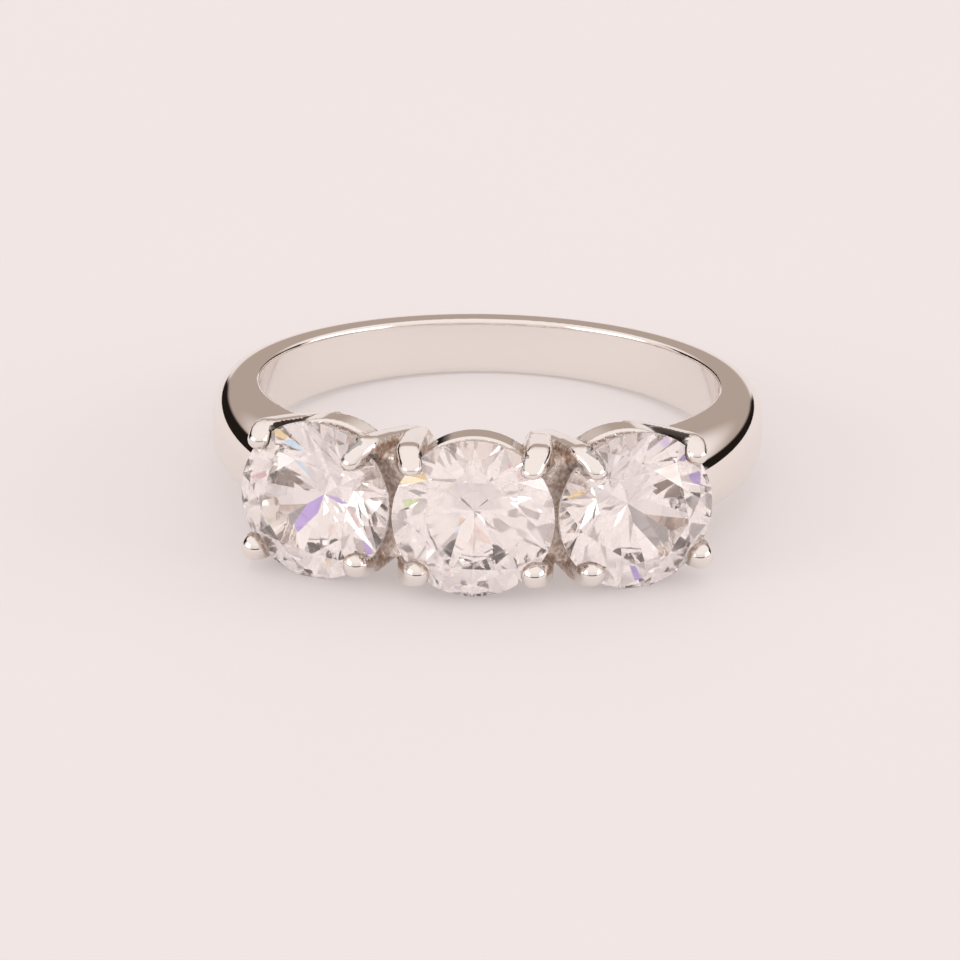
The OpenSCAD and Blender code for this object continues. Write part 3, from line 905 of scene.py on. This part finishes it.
# %% [markdown]
# ## The light tent
#
# Polished metal is a picture of the room round it, so the light matters as much as the material.
# The round noses of the prongs are tiny mirrors, and they show the photographer's tent: a pale
# grey ceiling, a thin dark gap where the tent stands on the table, a bright lamp on either side
# in front, and a dark slit behind each lamp. The world shader draws that room from two angles,
# the direction round the ring and the height above the table, as patches laid over a plain wall.
# Lamps alone would light the ring as well, but the mirrors would show nothing between them.
#
# A ray that has been inside a stone meets a second, paler room. Its patches are the sparks, the
# grey cells and the coloured flashes of the stones, and each hangs where the camera's rays come
# out of them. The camera itself sees a plain pale ground wherever the floor ends.

# %% The tent's colours and patches
# Each patch has its left and right edge, its bottom, its top at the left and at the right, the
# softness of its edges, all in degrees, and its colour.
WARM_WHITE, BRIGHT, TAN = (0.86, 0.78, 0.75), (1.0, 0.93, 0.9), (0.47, 0.38, 0.335)
DARK, LAMP, BLAZE = (0.015, 0.011, 0.009), (3.0, 2.9, 2.85), (2.4, 2.3, 2.2)
GREY, PALE_GREY = (0.4, 0.34, 0.33), (0.62, 0.51, 0.49)
VIOLET, BLUE, GREEN = (0.5, 0.32, 0.72), (0.7, 0.85, 1.0), (0.75, 0.8, 0.45)
YELLOW, ROSE, PINK = (0.95, 0.66, 0.3), (0.8, 0.45, 0.45), (0.95, 0.72, 0.65)
STONE_WALL, STONE_BACK = (1.06, 0.92, 0.88), (1.02, 0.88, 0.84)
ROOM = [
    (-24, 42, -20, 8, 8, 1.5, DARK),
    (-166, -108, -20, 7, 34, 2.5, DARK),
    (112, 166, -20, 22, 6, 2.5, DARK),
    (-84, -42, 9, 36, 36, 3, LAMP),
    (58, 106, 8, 30, 30, 3, LAMP),
    (108, 140, 28, 60, 50, 3, BRIGHT),
]
STONES_SEE = [
    (-157, -138, 5, 18, 18, 1, GREY),
    (143, 153, 4, 12, 12, 1, GREY),
    (154, 163, 9, 17, 17, 1, VIOLET),
    (5, 28, 29, 40, 40, 2, PALE_GREY),
    (-18, -6, 29, 36, 36, 1, PALE_GREY),
    (-12, 0, 54, 66, 66, 2, PALE_GREY),
    (42, 54, 30, 42, 42, 1, GREY),
    (7, 11, 23, 28, 28, 1, PALE_GREY),
    (-8, 8, -20, 4, 4, 1, PALE_GREY),
    (50, 60, 16, 24, 24, 1, GREY),
    (-48, -42, -20, 5, 5, 1, GREY),
    (-58, -48, 34, 41, 41, 1, BLAZE),
    (-58, -48, 53, 61, 61, 1, BLAZE),
    (-38, -31, 23, 41, 41, 1, BLAZE),
    (-24, -14, 70, 78, 78, 1, BLAZE),
    (17, 21, 14, 18, 18, 1, YELLOW),
    (35, 42, 33, 42, 42, 1, BLAZE),
    (46, 54, 42, 48, 48, 1, YELLOW),
    (29, 35, 47, 53, 53, 1, GREEN),
    (0, 6, 55, 62, 62, 1, VIOLET),
    (-32, -26, 5, 11, 11, 1, VIOLET),
    (-62, -57, 20, 27, 27, 1, VIOLET),
    (-6, 0, 16, 21, 21, 1, PINK),
    (14, 20, 3, 9, 9, 1, BLUE),
    (-29, -24, 32, 38, 38, 1, ROSE),
]
print(len(ROOM), "patches for the metal,", len(STONES_SEE), "for the stones")

# %% Hang the light tent
world = bpy.data.worlds.new("light tent")
bpy.context.scene.world = world
world.use_nodes = True
tree = world.node_tree
looking = tree.nodes.new("ShaderNodeTexCoord").outputs["Generated"]
direction = add_node(tree, "ShaderNodeSeparateXYZ", Vector=looking)
east, north, upward = (Sum(tree, direction.outputs[axis]) for axis in "XYZ")
round_about = east.op("ARCTAN2", north * -1) * (180 / math.pi)
height = upward.op("ARCSINE") * (180 / math.pi)
tree.nodes.remove(tree.nodes["Background"])
seen = tree.nodes.new("ShaderNodeLightPath")


def window(left, right, bottom, top_left, top_right, soft):
    """1 inside a patch of the tent's wall, 0 outside, with a soft edge."""
    after_left = ramp(tree, round_about, left - soft, left + soft)
    before_right = ramp(tree, round_about, right - soft, right + soft, 1, 0)
    over = height - (round_about - left) * ((top_right - top_left) / (right - left))
    above = ramp(tree, height, bottom - soft, bottom + soft)
    below = ramp(tree, over, top_left - soft, top_left + soft, 1, 0)
    return after_left * before_right * above * below


def hang(patches, wall, ceiling, back):
    """The tent: paler towards its top, darker at the back, with the patches laid over it."""
    colour = blend_colours(tree, ramp(tree, height, 10, 50), wall, ceiling)
    low_down = ramp(tree, height, 3, 6) * ramp(tree, height, 16, 30, 1, 0)
    behind = ramp(tree, north, 0.35, 0.8) * low_down
    colour = blend_colours(tree, behind, colour, back)
    for *edges, shade in patches:
        colour = blend_colours(tree, window(*edges), colour, shade)
    return colour


def background(colour):
    """A wall of that colour."""
    wall = tree.nodes.new("ShaderNodeBackground")
    tree.links.new(colour, wall.inputs["Color"])
    return wall.outputs[0]


def either(choice, no, yes):
    """One of two walls. The one that isn't chosen is never worked out, which saves time."""
    mix = tree.nodes.new("ShaderNodeMixShader")
    for socket, wanted in zip(mix.inputs, (choice, no, yes)):
        tree.links.new(wanted, socket)
    return mix.outputs[0]


metal_sees = hang(ROOM, WARM_WHITE, BRIGHT, TAN)
gap = ramp(tree, height, 0.5, 3, 1, 0) * ramp(tree, north, -0.2, 0.3, 1, 0)
metal_sees = background(blend_colours(tree, gap, metal_sees, DARK))
stones_see = background(hang(STONES_SEE, STONE_WALL, STONE_WALL, STONE_BACK))
plain = add_node(tree, "ShaderNodeBackground", Color=(0.85, 0.77, 0.76, 1)).outputs[0]
in_stone = Sum(tree, seen.outputs["Transmission Depth"]).op("GREATER_THAN", 0.5).socket
walls = either(seen.outputs["Is Camera Ray"], either(in_stone, metal_sees, stones_see), plain)
tree.links.new(walls, tree.nodes["World Output"].inputs["Surface"])
bpy.context.scene.view_settings.view_transform = "Standard"
bpy.context.scene.cycles.max_bounces = 16
bpy.context.scene.cycles.transmission_bounces = 16
bpy.context.scene.cycles.glossy_bounces = 8
print("tent has", len(tree.nodes), "nodes")

# %% [markdown]
# ## Putting it together
#
# Every piece rides on the ring's one body and stands for the solid that it dresses. The box of the
# dressed ring is written beside the box of the CAD model, so that the two can be compared.

# %% Fix the pieces to the frame
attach(mount, "root")
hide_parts("ring_mount")
for label, stone in stones.items():
    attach(stone, "root")
    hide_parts(label + "_stone")
dressed_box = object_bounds()
for corner, before, after in zip(("low", "high"), cad_box, dressed_box):
    moved = [round((b - a) / MM, 3) for a, b in zip(before, after)]
    print("the box's", corner, "corner moved by, in mm:", moved)
